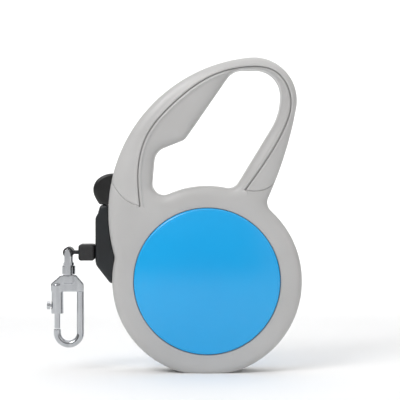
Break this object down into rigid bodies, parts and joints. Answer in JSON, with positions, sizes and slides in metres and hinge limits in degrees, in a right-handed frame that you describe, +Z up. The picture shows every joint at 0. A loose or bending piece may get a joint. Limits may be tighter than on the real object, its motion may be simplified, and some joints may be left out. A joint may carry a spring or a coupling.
{
  "type": "retractable dog leash",
  "caption": "Retractable tape leash: round casing with a hand loop, domed side covers, thumb brake, sprung reel and a swivelling bolt snap.",
  "frame": {"origin": "on the flat resting face of the casing, straight below the reel axle, on the parting plane", "axes": "+Z up, +X towards the back of the hand loop (the tape leaves towards -X), Y along the reel axle"},
  "size_m": [0.1323, 0.034, 0.1628],
  "materials": {
    "gray_plastic": "fine satin moulded ABS",
    "grip_plastic": "satin moulded ABS",
    "blue_plastic": "smooth satin-gloss moulded ABS",
    "black_plastic": "satin black moulded ABS",
    "white_plastic": "natural acetal",
    "steel": "ground steel pin",
    "zinc_steel": "zinc plated screw",
    "spring_steel": "blued spring steel",
    "tape": "woven nylon tape",
    "rubber": "moulded rubber",
    "chrome": "chrome plated zinc casting"
  },
  "bodies": {
    "housing": {"front_shell": "gray_plastic", "rear_shell": "gray_plastic", "grip_band": "grip_plastic", "case_screws": "zinc_steel", "front_cover": "blue_plastic", "rear_cover": "blue_plastic", "reel_axle": "steel", "spring_arbor": "steel", "axle_washer": "white_plastic", "tape_run": "tape", "nozzle": "black_plastic", "guide_pins": "steel", "brake_pivot_pin": "steel", "brake_spring": "spring_steel"},
    "reel": {"reel_drum": "white_plastic", "spring_cover": "white_plastic", "spring_cover_screws": "zinc_steel", "mainspring": "spring_steel", "tape_roll": "tape"},
    "brake": {"brake_rocker": "black_plastic"},
    "button": {"thumb_button": "black_plastic"},
    "tape": {"tape_end": "tape", "stop_sleeve": "rubber"},
    "eye": {"swivel_eye": "chrome"},
    "hook": {"hook_body": "chrome", "swivel_rivet": "chrome", "bolt_spring": "spring_steel"},
    "bolt": {"hook_bolt": "chrome", "bolt_knob": "chrome"}
  },
  "joints": [
    {"name": "tape_pull", "type": "slide", "parent": "housing", "child": "tape", "axis": [1, 0, 0], "range_m": [-3, 0], "stiffness_N_per_m": 1, "springref_m": 3},
    {"name": "reel_spin", "type": "hinge", "parent": "housing", "child": "reel", "pos_m": [0, 0, 0.0475], "axis": [0, 1, 0], "range_deg": [-6481, 1]},
    {"name": "brake_press", "type": "hinge", "parent": "housing", "child": "brake", "pos_m": [-0.0435, 0, 0.084], "axis": [0, 1, 0], "range_deg": [0, 7.5], "stiffness_Nm_per_rad": 0.3, "springref_deg": -8.59, "deforming": ["brake_spring"]},
    {"name": "brake_lock", "type": "slide", "parent": "brake", "child": "button", "axis": [0, 0, 1], "range_m": [0, 0.0025]},
    {"name": "hook_swing", "type": "hinge", "parent": "tape", "child": "eye", "pos_m": [-0.072, 0, 0.062], "axis": [0, 1, 0], "range_deg": [-10, 95]},
    {"name": "hook_swivel", "type": "hinge", "parent": "eye", "child": "hook", "pos_m": [-0.072, 0, 0.05], "axis": [0, 0, 1], "continuous": true},
    {"name": "bolt_slide", "type": "slide", "parent": "hook", "child": "bolt", "axis": [0, 0, 1], "range_m": [0, 0.0055], "stiffness_N_per_m": 150, "springref_m": -0.01, "deforming": ["bolt_spring"]}
  ],
  "couplings": [
    {"joint": "reel_spin", "follows": "tape_pull", "rad_per_m": 37.699}
  ]
}
